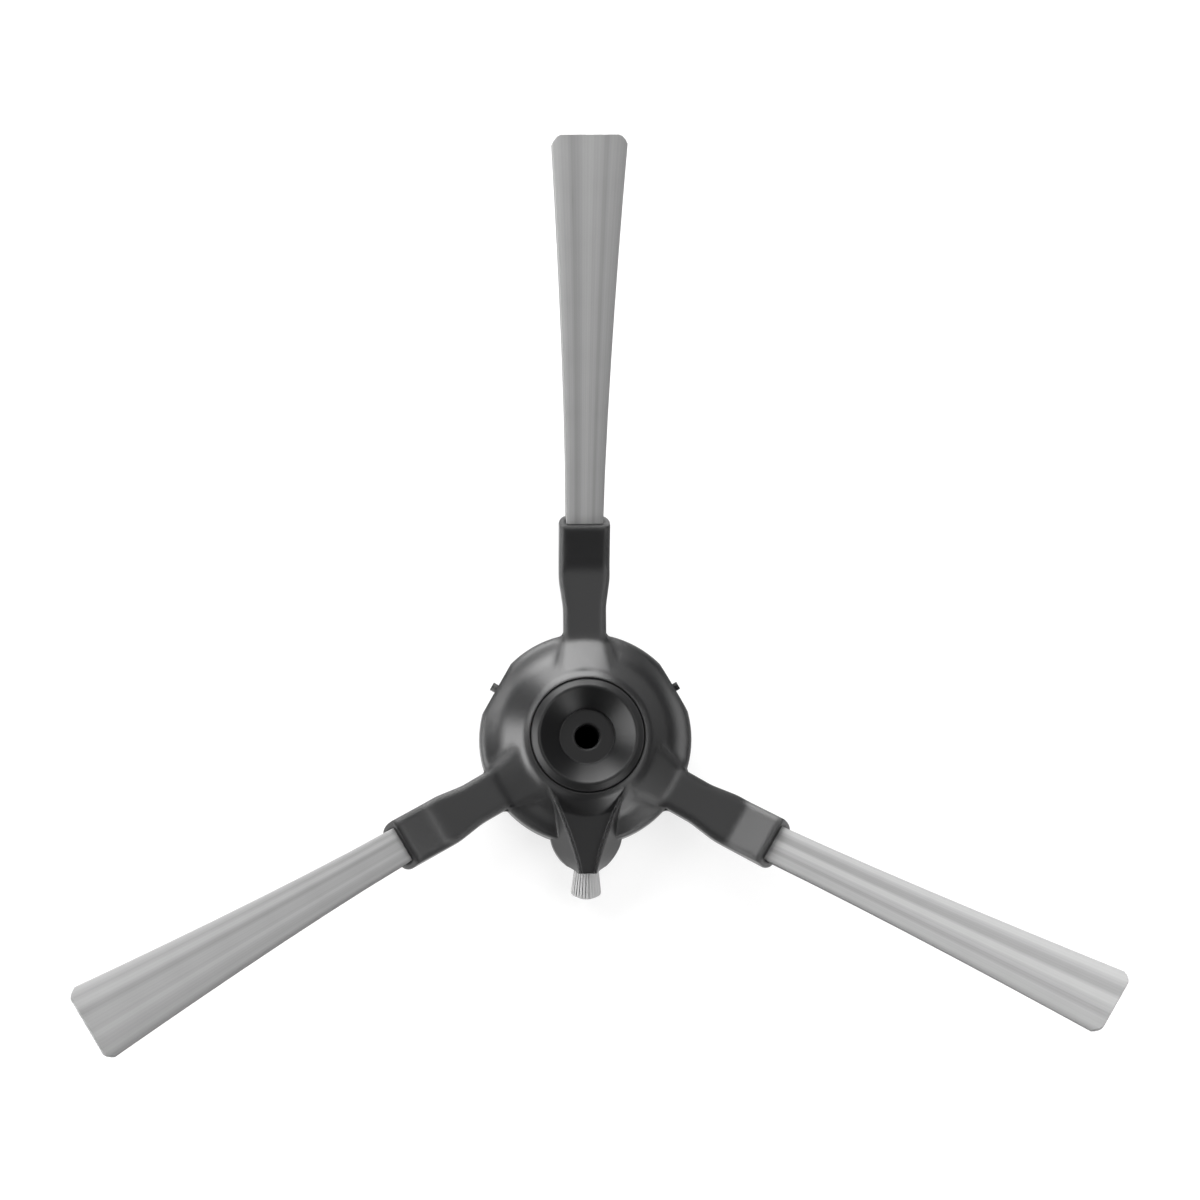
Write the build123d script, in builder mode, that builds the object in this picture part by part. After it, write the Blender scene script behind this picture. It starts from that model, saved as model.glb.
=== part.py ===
from build123d import *
import os
from math import cos, radians, sin, tan

# Side brush of a floor cleaning robot, in millimetres.
# The origin is on the spindle axis at the end of the drive boss, and +Z points at the floor being swept.

# Whole brush
tip_radius = 85.0  # spindle axis to the trimmed ends of the long tufts
hub_height = 13.0  # end of the drive boss to the crest of the screw recess
first_arm_angle = 90.0
tuft_leans = (-0.2, 0.9, 1.8)  # sideways set of each long tuft, degrees, one per arm
tuft_tip_widths = (10.7, 11.3, 9.5)

# Bell and flange of the hub moulding
flange_height = 4.4  # end of the drive boss to the back of the flange
flange_radius = 15.2
flange_edge = 3.3
flange_edge_round = 0.9
bell_shoulder_radius = 9.2
bell_shoulder_drop = 0.5
bell_shoulder_round = 2.5
bell_foot_radius = 12.5  # where the steep side would meet the flange without its sweep
bell_foot_rise = 0.95
bell_sweep = 5.5
flat_depth = 0.55  # flats on the flange where the mould was filled
gate_width = 1.1
gate_height = 1.2
gate_length = 0.8

# Cored out back of the hub moulding
back_wall = 1.8
bore_wall = 2.4
back_rib = 1.2
ribs_per_arm = 2

# Drive core
crest_radius = 7.05
lip_width = 1.2
lip_drop = 0.9
lip_edge = 0.6
crest_flat = 0.3
funnel_drop = 2.5
seat_radius = 4.0
seat_step = 0.5
screw_hole_diameter = 3.4
screw_hole_chamfer = 0.25
web_thickness = 2.4
boss_radius = 6.5
boss_chamfer = 0.5
socket_width = 6.0
socket_corner = 0.8
key_width = 2.5
key_height = 1.1
parting_groove = 0.25

# Arms
arm_rise = 0.6  # back of the flange to the back of the arm
arm_thickness = 3.5
arm_waist = 6.1
root_drop = 0.5  # top of the bell to the start of the arm's root
root_shoulder_radius = 9.3
root_shoulder_drop = 0.8
root_shoulder_round = 4.0
root_flare = 26.0
root_width = 7.5  # where the flare ends
root_flare_radius = 10.0
root_flare_round = 8.0
root_end_radius = 14.3
root_crease = 1.7
waist_end_radius = 19.0
sleeve_width = 7.25
shoulder_length = 4.0
shoulder_round = 10.0
sleeve_start_radius = 24.6
sleeve_crease = 3.2
sleeve_tilt = 25.0
sleeve_front = 6.2
sleeve_depth = 4.8
arm_front_round = 0.5
arm_back_round = 1.0
ear_round = 1.4  # corners of the sleeve beside the tuft
ear_clearance = 0.02
flank_foot_width = 6.2  # across both flanks of a root, at the edge of the flange
flank_draft = 29.0
flank_sweep = 26.5
flank_drop = 0.2
arm_blend = 1.2
web_lift = 0.5
web_inset = 0.05

# Long tufts
tuft_tilt = 20.0
tuft_width = 5.15
tuft_thickness = 2.4
tuft_tip_thickness = 2.2
tuft_root = 4.4
root_bead_length = 1.2
root_bead_width = 5.6
tuft_mouth_gap = 0.25  # how far the root stands out of the sleeve before the bristles spread
flutes = 5
flute_depth = 0.16
ridge_side = 0.3  # share of a ridge's width that each of its slopes takes
tuft_spread = 0.37  # share of the spread reached at half length
tip_corner_round = 1.3

# Nose with the short tuft
nose_start_radius = 5.5  # inside the core, which cuts it back
nose_reach = 19.6
nose_steps = 5
nose_width = 10.4
nose_bow_radius = 13.5  # where the straight sides end and the bow begins
nose_tip_width = 2.8
nose_shoulder = 1.6
channel_start_rise = 5.9  # above the back of the flange, as the next rises are
channel_tip_rise = 4.1
channel_start_radius = 7.0
channel_start_width = 11.2
channel_tip_width = 2.0
channel_sweep = 1.25
channel_draft = 10.0
crest_start_rise = 7.3
crest_tip_rise = 4.8
crest_land = 0.3
nose_lip = 0.9
short_tuft_tilt = 30.0
short_tuft_root_diameter = 2.9
short_tuft_base_diameter = 3.4
short_tuft_tip_diameter = 4.4
short_tuft_length = 5.1
short_tuft_root = 2.2
short_tuft_inset = 3.0  # edge of the nose's lip to the middle of the tuft, along the undercut
short_tuft_flutes = 9

# Places that several pieces share
arm_count = len(tuft_leans)
arm_angles = [first_arm_angle + 360 / arm_count * i for i in range(arm_count)]
gap_angles = [angle + 180 / arm_count for angle in arm_angles]
nose_angle = gap_angles[1]
gate_angles = [angle for angle in gap_angles if angle != nose_angle]
rim_radius = crest_radius + lip_width
rim_top = hub_height - lip_drop
arm_back = flange_height + arm_rise
arm_front = arm_back + arm_thickness
arm_middle = (arm_back + arm_front) / 2
seat_height = hub_height - funnel_drop - seat_step
socket_depth = seat_height - web_thickness
far = 2 * tip_radius
box_align = (Align.MIN, Align.CENTER, Align.MIN)  # outwards from the axis and up from the back

# The sleeve's mouth: a slanted end face square to the raised front of the sleeve
mouth_front = Vector(
    sleeve_start_radius + sleeve_front * cos(radians(sleeve_tilt)),
    0,
    arm_front + sleeve_front * sin(radians(sleeve_tilt)),
)
mouth_back = mouth_front + Vector(sin(radians(sleeve_tilt)), 0, -cos(radians(sleeve_tilt))) * sleeve_depth
mouth_middle = (mouth_front + mouth_back) / 2
tuft_direction = Vector(cos(radians(tuft_tilt)), 0, sin(radians(tuft_tilt)))
tuft_length = (tip_radius - mouth_middle.X) / cos(radians(tuft_tilt))


def tuft_plane(distance, lean=0.0):
    """Section plane of a long tuft on the +X axis, so far from the mouth, square to the leaning bristles."""
    direction = tuft_direction * cos(radians(lean)) + Vector(0, sin(radians(lean)), 0)
    sideways = Vector(0, cos(radians(lean)), 0) - tuft_direction * sin(radians(lean))
    return Plane(mouth_middle + direction * distance, x_dir=sideways, z_dir=direction)


def flat_bundle(plane, width, thickness):
    """Section of a flat tuft: a low ridge for each bundle of bristles on both faces, and blunt sides."""
    half = thickness / 2
    valley = half - flute_depth
    pitch = (width - 2 * flute_depth) / flutes
    face = []
    for i in range(flutes):
        x = (i - flutes / 2) * pitch
        face += [(x, valley), (x + ridge_side * pitch, half), (x + (1 - ridge_side) * pitch, half)]
    face.append((flutes / 2 * pitch, valley))
    with BuildSketch(plane) as section:
        with BuildLine():
            Polyline(*face, (width / 2, 0), *[(-x, -y) for x, y in face], (-width / 2, 0), close=True)
        make_face()
    return section.sketch


def runs_lengthwise(edge):
    """True for an edge along the arm, and not for one across it or up its side."""
    direction = edge % 0.5
    return abs(direction.X) > max(abs(direction.Y), abs(direction.Z))


# Fused root that the sleeve grips, with a wider bead at its inner end
with BuildPart() as root:
    with BuildSketch(tuft_plane(-tuft_root)):
        Rectangle(tuft_width, tuft_thickness)
    extrude(amount=tuft_root + tuft_mouth_gap)
    with BuildSketch(tuft_plane(-tuft_root)):
        Rectangle(root_bead_width, tuft_thickness)
    extrude(amount=root_bead_length)

# Long tufts
long_tufts = []
for angle, lean, tip_width in zip(arm_angles, tuft_leans, tuft_tip_widths):
    middle_width = tuft_width + tuft_spread * (tip_width - tuft_width)
    middle_thickness = (tuft_thickness + tuft_tip_thickness) / 2
    end = tuft_plane(tuft_length, lean)
    with BuildPart() as fan:
        loft(
            [
                flat_bundle(tuft_plane(tuft_mouth_gap), tuft_width, tuft_thickness),
                flat_bundle(tuft_plane(tuft_length / 2, lean), middle_width, middle_thickness),
                flat_bundle(end, tip_width, tuft_tip_thickness),
            ],
            ruled=True,
        )
        # The trimmed end has its corners worn round
        with BuildSketch(Plane(end.origin, x_dir=end.x_dir, z_dir=end.y_dir)) as trim:
            Rectangle(tip_width, far, align=(Align.CENTER, Align.MIN))
            fillet(trim.vertices().group_by(Axis.Y)[0], tip_corner_round)
        extrude(amount=tuft_thickness, both=True, mode=Mode.INTERSECT)
    with BuildPart() as long_tuft:
        add(root.part, rotation=(0, 0, angle))
        add(fan.part, rotation=(0, 0, angle))
    long_tufts.append(long_tuft)

# Side view of an arm: a flat waist, a sleeve rising to its slanted mouth, and a root that climbs to the bell
with BuildPart() as arm_side:
    with BuildSketch(Plane.XZ):
        with BuildLine():
            FilletPolyline(
                (0, arm_back),
                (0, arm_front),
                (sleeve_start_radius, arm_front),
                (mouth_front.X, mouth_front.Z),
                (mouth_back.X, mouth_back.Z),
                (sleeve_start_radius, arm_back),
                radius=(0, 0, sleeve_crease, 0, 0, sleeve_crease),
                close=True,
            )
        make_face()
    extrude(amount=sleeve_width, both=True)
    with BuildSketch(Plane.XZ):
        with BuildLine():
            FilletPolyline(
                (0, arm_back),
                (0, rim_top - root_drop),
                (rim_radius, rim_top - root_drop),
                (root_shoulder_radius, rim_top - root_shoulder_drop),
                (root_end_radius, arm_front),
                (waist_end_radius, arm_front),
                (waist_end_radius, arm_back),
                radius=(0, 0, 0, root_shoulder_round, root_crease, 0, 0),
                close=True,
            )
        make_face()
    revolve(axis=Axis.Z)

# One arm on the +X axis, from inside the core to the mouth of its sleeve
flare_run = root_flare_radius - boss_radius
with BuildPart() as arm:
    with BuildSketch():
        with BuildLine():
            side_line = FilletPolyline(
                (boss_radius, root_width / 2 + flare_run * tan(radians(root_flare))),
                (root_flare_radius, root_width / 2),
                (root_end_radius, arm_waist / 2),
                (waist_end_radius, arm_waist / 2),
                (waist_end_radius + shoulder_length, sleeve_width / 2),
                (2 * mouth_back.X, sleeve_width / 2),
                radius=(root_flare_round, root_flare_round, shoulder_round, shoulder_round),
            )
            Polyline(side_line @ 1, (2 * mouth_back.X, 0), (boss_radius, 0), side_line @ 0)
        make_face()
        mirror(about=Plane.XZ)
    extrude(amount=2 * hub_height)
    add(arm_side.part, mode=Mode.INTERSECT)
    long_edges = arm.edges().filter_by(runs_lengthwise)
    fillet(long_edges.filter_by(lambda edge: (edge @ 0.5).Z < arm_middle), arm_back_round)
    long_edges = arm.edges().filter_by(runs_lengthwise)
    fillet(long_edges.filter_by(lambda edge: (edge @ 0.5).Z > arm_middle), arm_front_round)
    # The mouth's back corners stand out as two rounded ears
    with BuildSketch():
        RectangleRounded(2 * mouth_back.X - ear_clearance, sleeve_width + ear_clearance, ear_round)
    extrude(amount=2 * hub_height, mode=Mode.INTERSECT)
    add(root.part, mode=Mode.SUBTRACT)

# Flanks on the +X axis that ease the root of an arm into the bell
with BuildPart() as flanks:
    with BuildSketch(Plane.XZ):
        with BuildLine():
            Polyline(
                (0, arm_back + web_lift),
                (0, rim_top - root_drop - flank_drop),
                (rim_radius, rim_top - root_drop - flank_drop),
                (root_shoulder_radius, rim_top - root_shoulder_drop - flank_drop),
                (root_end_radius, arm_front - flank_drop),
                (flange_radius - web_inset, arm_front - flank_drop),
                (flange_radius - web_inset, arm_back + web_lift),
                close=True,
            )
        make_face()
    revolve(axis=Axis.Z)
    split(bisect_by=Plane.YZ.offset(boss_radius), keep=Keep.TOP)
    for side in (1, -1):
        foot = (flange_radius, side * flank_foot_width / 2, flange_height + flange_edge)
        slope = (tan(radians(flank_sweep)), side, tan(radians(flank_draft)))
        split(bisect_by=Plane(foot, z_dir=slope), keep=Keep.BOTTOM)

# Web on the +X axis that rounds the two corners between an arm and the edge of the flange
with BuildPart() as web:
    with BuildSketch(Plane.XY.offset(arm_back + web_lift)) as outline:
        Circle(flange_radius - web_inset)
        Rectangle(flange_radius + arm_blend, arm_waist - 2 * web_inset, align=(Align.MIN, Align.CENTER))
        corners = outline.vertices().filter_by(lambda corner: corner.X < flange_radius)
        fillet(corners.sort_by(Axis.X)[-2:], arm_blend)
        web_width = arm_waist + 4 * arm_blend
        Rectangle(2 * flange_radius, web_width, align=(Align.MIN, Align.CENTER), mode=Mode.INTERSECT)
    extrude(amount=flange_edge - flange_edge_round - arm_rise - web_lift)

# Keys that lock the drive core in the hub
flare_start = rim_top - lip_edge - (rim_radius - boss_radius)
with BuildPart() as keys:
    with Locations((0, 0, flange_height)):
        with PolarLocations(0, arm_count, start_angle=first_arm_angle):
            Box(boss_radius + key_height, key_width, flare_start - flange_height, align=box_align)

# Outside of the drive core, from the boss up to the crest of its flared rim
core_outline = [
    (0, 0),
    (boss_radius, 0),
    (boss_radius, flare_start),
    (rim_radius, rim_top - lip_edge),
    (rim_radius, rim_top),
    (crest_radius + crest_flat / 2, hub_height),
]
with BuildPart() as core_form:
    with BuildSketch(Plane.XZ):
        with BuildLine():
            Polyline(*core_outline, (0, hub_height), close=True)
        make_face()
    revolve(axis=Axis.Z)
    add(keys.part)

# Fine groove along the parting line between core and hub
with BuildPart() as groove:
    with BuildSketch(Plane.XZ):
        with BuildLine():
            Polyline(
                (rim_radius, rim_top - parting_groove),
                (rim_radius + parting_groove, rim_top + parting_groove),
                (rim_radius - parting_groove, rim_top + parting_groove),
                close=True,
            )
        make_face()
    revolve(axis=Axis.Z)

# The core itself: inside its crest a funnel runs down to the flat seat of the screw
with BuildPart() as drive_core:
    with BuildSketch(Plane.XZ):
        with BuildLine():
            Polyline(
                *core_outline,
                (crest_radius - crest_flat / 2, hub_height),
                (seat_radius, seat_height + seat_step),
                (seat_radius, seat_height),
                (0, seat_height),
                close=True,
            )
        make_face()
    revolve(axis=Axis.Z)
    add(keys.part)
    with Locations((0, 0, seat_height)):
        Hole(screw_hole_diameter / 2, depth=seat_height)
    with BuildSketch():
        RectangleRounded(socket_width, socket_width, socket_corner)
    extrude(amount=socket_depth, mode=Mode.SUBTRACT)
    add(groove.part, mode=Mode.SUBTRACT)
    circles = drive_core.edges().filter_by(GeomType.CIRCLE)
    seat_circles = circles.filter_by_position(Axis.Z, seat_height, seat_height)
    chamfer(seat_circles.sort_by(SortBy.RADIUS)[0], screw_hole_chamfer)
    circles = drive_core.edges().filter_by(GeomType.CIRCLE)
    boss_circles = circles.filter_by_position(Axis.Z, 0, 0)
    chamfer(boss_circles.sort_by(SortBy.RADIUS)[-1], boss_chamfer)


def nose_section(x):
    """Section across the nose: side walls, sloping flanks, two crests and the channel between them."""
    along = (x - channel_start_radius) / (nose_reach - channel_start_radius)
    bow = max(0.0, (x - nose_bow_radius) / (nose_reach - nose_bow_radius))
    spread = (channel_start_width - channel_tip_width) * (1 - along) ** channel_sweep
    channel = (channel_tip_width + spread) / 2
    side = (nose_tip_width + (nose_width - nose_tip_width) * (1 - bow**2)) / 2
    side = max(side, channel + 2 * crest_land)
    bottom = flange_height
    shoulder = flange_height + nose_shoulder
    crest = flange_height + crest_start_rise + (crest_tip_rise - crest_start_rise) * along
    floor = flange_height + channel_start_rise + (channel_tip_rise - channel_start_rise) * along
    foot = channel - (crest - floor) * tan(radians(channel_draft))
    with BuildSketch(Plane((x, 0, 0), x_dir=(0, 1, 0), z_dir=(1, 0, 0))) as section:
        with BuildLine():
            Polyline(
                (-side, bottom),
                (side, bottom),
                (side, shoulder),
                (channel + crest_land, crest - crest_land / 2),
                (channel, crest),
                (foot, floor),
                (-foot, floor),
                (-channel, crest),
                (-channel - crest_land, crest - crest_land / 2),
                (-side, shoulder),
                close=True,
            )
        make_face()
    return section.sketch


# The nose, on the +X axis: two crests run together over an undercut that holds the short tuft
undercut = Plane(
    (nose_reach, 0, flange_height + crest_tip_rise - nose_lip),
    x_dir=(0, 1, 0),
    z_dir=(cos(radians(short_tuft_tilt)), 0, -sin(radians(short_tuft_tilt))),
)
short_tuft_plane = Plane(
    undercut.origin - undercut.y_dir * short_tuft_inset,
    x_dir=undercut.x_dir,
    z_dir=undercut.z_dir,
)


def round_bundle(distance, diameter):
    """Section of the short tuft: a ring of shallow arcs, so far along its axis from the undercut."""
    valley = diameter / 2 - flute_depth
    turn = 360 / short_tuft_flutes
    with BuildSketch(short_tuft_plane.offset(distance)) as section:
        with BuildLine():
            for i in range(short_tuft_flutes):
                start = Vector(valley, 0).rotate(Axis.Z, i * turn)
                peak = Vector(diameter / 2, 0).rotate(Axis.Z, (i + 0.5) * turn)
                stop = Vector(valley, 0).rotate(Axis.Z, (i + 1) * turn)
                ThreePointArc(start, peak, stop)
        make_face()
    return section.sketch


with BuildPart() as tuft_form:
    tuft_start = round_bundle(0, short_tuft_base_diameter)
    tuft_end = round_bundle(short_tuft_length, short_tuft_tip_diameter)
    loft([tuft_start, tuft_end])
    with BuildSketch(short_tuft_plane):
        Circle(short_tuft_root_diameter / 2)
    extrude(amount=-short_tuft_root)

with BuildPart() as nose:
    step = (nose_reach - nose_start_radius) / nose_steps
    loft([nose_section(nose_start_radius + i * step) for i in range(nose_steps + 1)])
    split(bisect_by=undercut, keep=Keep.BOTTOM)

with BuildPart() as short_tuft:
    add(tuft_form.part, rotation=(0, 0, nose_angle))

# Hollow between the bell and its bore, open at the back and crossed by ribs
bell_foot = Vector(bell_foot_radius, 0, flange_height + flange_edge + bell_foot_rise)
bell_shoulder = Vector(bell_shoulder_radius, 0, rim_top - bell_shoulder_drop)
bell_side = bell_foot - bell_shoulder
hollow_foot = bell_foot + Vector(bell_side.Z, 0, -bell_side.X).normalized() * back_wall
bore_radius = boss_radius + bore_wall
hollow_top = hollow_foot.Z + (bore_radius - hollow_foot.X) * bell_side.Z / bell_side.X
with BuildPart() as coring:
    with BuildSketch(Plane.XZ):
        with BuildLine():
            Polyline(
                (bore_radius, flange_height),
                (bore_radius, hollow_top),
                (hollow_foot.X, hollow_foot.Z),
                (flange_radius - back_wall, flange_height + flange_edge - back_wall),
                (flange_radius - back_wall, flange_height),
                close=True,
            )
        make_face()
    revolve(axis=Axis.Z)
    with Locations((0, 0, flange_height)):
        with PolarLocations(0, ribs_per_arm * arm_count, start_angle=first_arm_angle):
            Box(flange_radius, back_rib, hub_height, align=box_align, mode=Mode.SUBTRACT)

with BuildPart() as hub_moulding:
    with BuildSketch(Plane.XZ):
        with BuildLine():
            FilletPolyline(
                (0, flange_height),
                (flange_radius, flange_height),
                (flange_radius, flange_height + flange_edge),
                (bell_foot.X, bell_foot.Z),
                (bell_shoulder.X, bell_shoulder.Z),
                (rim_radius, rim_top),
                (0, rim_top),
                radius=(0, 0, flange_edge_round, bell_sweep, bell_shoulder_round, 0, 0),
                close=True,
            )
        make_face()
    revolve(axis=Axis.Z)
    # Flats where the mould was filled, each with the stub of its gate
    for angle in gate_angles:
        with Locations(Location((0, 0, flange_height), (0, 0, angle))):
            with Locations((flange_radius - flat_depth, 0, 0)):
                Box(flange_radius, flange_radius, hub_height, align=box_align, mode=Mode.SUBTRACT)
            with Locations((flange_radius - flat_depth, 0, flange_edge / 2)):
                Box(2 * gate_length, gate_width, gate_height)
    with PolarLocations(0, arm_count, start_angle=first_arm_angle):
        add(arm.part)
        add(flanks.part)
        add(web.part)
    add(nose.part, rotation=(0, 0, nose_angle))
    add(coring.part, mode=Mode.SUBTRACT)
    add(core_form.part, mode=Mode.SUBTRACT)
    add(groove.part, mode=Mode.SUBTRACT)
    add(tuft_form.part, rotation=(0, 0, nose_angle), mode=Mode.SUBTRACT)

# Hand over each piece in its own file
pieces = {"hub_moulding": hub_moulding, "drive_core": drive_core, "short_tuft": short_tuft}
for number, long_tuft in enumerate(long_tufts, start=1):
    pieces[f"long_tuft_{number}"] = long_tuft
os.makedirs("parts", exist_ok=True)
for name, piece in pieces.items():
    piece.part.label = name
    export_step(piece.part, f"parts/{name}.step")
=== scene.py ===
from math import atan, cos, pi, radians, sin, tan

import bpy
from bpy.props import FloatProperty, FloatVectorProperty, IntProperty, PointerProperty
from mathutils import Matrix, Vector


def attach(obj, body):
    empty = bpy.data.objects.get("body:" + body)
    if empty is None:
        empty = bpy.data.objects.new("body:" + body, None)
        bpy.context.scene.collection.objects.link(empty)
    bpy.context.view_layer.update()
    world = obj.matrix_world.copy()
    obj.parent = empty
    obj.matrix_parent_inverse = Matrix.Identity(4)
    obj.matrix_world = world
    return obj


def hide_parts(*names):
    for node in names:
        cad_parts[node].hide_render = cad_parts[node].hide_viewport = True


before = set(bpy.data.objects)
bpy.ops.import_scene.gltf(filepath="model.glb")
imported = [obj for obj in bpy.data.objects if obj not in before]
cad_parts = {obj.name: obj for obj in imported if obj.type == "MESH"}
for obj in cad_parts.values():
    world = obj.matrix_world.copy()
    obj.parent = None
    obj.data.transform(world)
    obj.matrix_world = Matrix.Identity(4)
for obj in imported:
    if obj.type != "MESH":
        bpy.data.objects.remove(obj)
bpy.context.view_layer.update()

bl_info = {
    "name": "Side brush",
    "version": (1, 0, 0),
    "blender": (4, 5, 0),
    "location": "View3D > Sidebar > Side brush",
    "description": "Bristles, finishes and studio for the side brush of a floor cleaning robot",
    "category": "Object",
}

MM = 0.001

# The brush, in millimetres and degrees, as the solids have it
ARM_ANGLES = (90.0, 210.0, 330.0)
NOSE_ANGLE = 270.0
TIP_RADIUS = 85.0
MOUTH_RADIUS = 31.23
MOUTH_HEIGHT = 8.95
LONG_TILT = 20.0
LONG_LEANS = (-0.2, 0.9, 1.8)
LONG_TIP_WIDTHS = (10.7, 11.3, 9.5)
LONG_TIP_THICKNESS = 2.2
LONG_TIP_CORNER = 1.3
LONG_RIDGES = 5
LONG_RIDGE_DEPTH = 0.05
LONG_SPREAD = 1.45  # power by which a fan opens along its length
LONG_ROOT_SIZE = (4.0, 5.15, 2.4)
LONG_ROOT_DEPTH = 0.4
LONG_BEAD_SIZE = (1.2, 5.6, 2.4)
SHORT_RADIUS = 18.1
SHORT_HEIGHT = 5.7
SHORT_TILT = -30.0
SHORT_LENGTH = 5.1
SHORT_ROOT_SIZE = (2.2, 2.9, 2.9)
SHORT_BASE_RADIUS = 1.6
SHORT_TIP_RADIUS = 2.1
SHORT_DOME = 0.8
SHORT_SEED = 7
# the boss radius also bounds the painted shadow on the floor under the drive socket
BOSS_RADIUS = 6.5
HUB_MIDDLE = 8.0  # height at which the lamps and the camera aim

# Where the hub's edges change from narrow softening to wide, in millimetres
NOSE_SIDES = (5.5, 7.5)  # off the nose's middle
NOSE_TOP = (-9.5, -7.5)  # along Y
RIM_BAND = (9.2, 10.4)  # off the axis

HUB_PATCH = 7.0  # size of the hub's greyer patches, in millimetres
HUB_GRAIN_DEPTH = 0.05
CORE_FLOW = 3.0  # size of the core's flow marks, in millimetres


def hex_colour(text):
    """Linear RGBA of an sRGB colour written as rrggbb."""
    channels = [int(text[i:i + 2], 16) / 255 for i in (0, 2, 4)]
    linear = [c / 12.92 if c <= 0.04045 else ((c + 0.055) / 1.055) ** 2.4 for c in channels]
    return (*linear, 1.0)


def add_node(tree, kind, inputs=None, **settings):
    """Add a node with its settings; each input is a value, or an output to link from."""
    node = tree.nodes.new(kind)
    for name, value in settings.items():
        setattr(node, name, value)
    for name, value in (inputs or {}).items():
        if isinstance(value, bpy.types.NodeSocket):
            tree.links.new(value, node.inputs[name])
        else:
            node.inputs[name].default_value = value
    return node


def new_material(name):
    """An empty node material and its tree."""
    material = bpy.data.materials.new(name)
    material.use_nodes = True
    material.node_tree.nodes.clear()
    return material, material.node_tree


class HubFinish(bpy.types.PropertyGroup):
    """Finish of the hub and of the drive core."""
    colour: FloatVectorProperty(
        name="Hub colour", description="Charcoal of the moulded hub", subtype="COLOR", size=4, min=0, max=1,
        default=hex_colour("101011"))
    worn: FloatVectorProperty(
        name="Hub sheen colour", description="Greyer patches of the hub's skin", subtype="COLOR", size=4, min=0, max=1,
        default=hex_colour("181819"))
    core: FloatVectorProperty(
        name="Core colour", description="Darker grey of the rigid core", subtype="COLOR", size=4, min=0, max=1,
        default=hex_colour("0c0c0d"))
    grain: FloatProperty(
        name="Grain", description="Size of the mould's texture", unit="LENGTH", default=0.35 * MM)
    edge: FloatProperty(
        name="Hub edges", description="Softening of the hub's moulded edges", unit="LENGTH", default=1.5 * MM)
    fine_edge: FloatProperty(
        name="Fine edges", description="Softening of the hub's rim and of the crests of its nose", unit="LENGTH",
        default=0.5 * MM)
    core_edge: FloatProperty(
        name="Core edges", description="Softening of the core's moulded edges", unit="LENGTH", default=0.4 * MM)


class BristleSettings(bpy.types.PropertyGroup):
    """Bristles of the long tufts and of the short one."""
    long_count: IntProperty(
        name="Bristles in a long tuft", description="Filaments in each flat fan", default=1600, min=1)
    short_count: IntProperty(
        name="Bristles in the short tuft", description="Filaments in the round tuft", default=420, min=1)
    diameter: FloatProperty(
        name="Bristle diameter", description="Thickness of one filament", unit="LENGTH", default=0.18 * MM)
    wave: FloatProperty(
        name="Wave", description="How far a filament strays from its line", unit="LENGTH", default=0.06 * MM)
    dark: FloatVectorProperty(
        name="Dark bristles", description="Grey of the shaded filaments", subtype="COLOR", size=4, min=0, max=1,
        default=hex_colour("6e6e6e"))
    light: FloatVectorProperty(
        name="Light bristles", description="Grey of the lit filaments", subtype="COLOR", size=4, min=0, max=1,
        default=hex_colour("c8c8c8"))


class StageSettings(bpy.types.PropertyGroup):
    """Floor, lamps and camera."""
    floor: FloatVectorProperty(
        name="Floor", description="Colour of the floor", subtype="COLOR", size=4, min=0, max=1,
        default=hex_colour("9c9c9c"))
    lift: FloatProperty(
        name="Floor lift", description="Light added to the floor to bring it up to white", default=0.72)
    ambient: FloatProperty(
        name="Ambient", description="Even light from all round", default=0.04)
    overhead: FloatProperty(
        name="Overhead", description="Soft light from above, which fades towards the horizon", default=1.1)
    view_distance: FloatProperty(
        name="View distance", description="From the camera to the hub", unit="LENGTH", default=5.0)
    view_scale: FloatProperty(
        name="View scale", description="Image points to a millimetre at the hub, in a frame of 1200", default=6.969)


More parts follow.
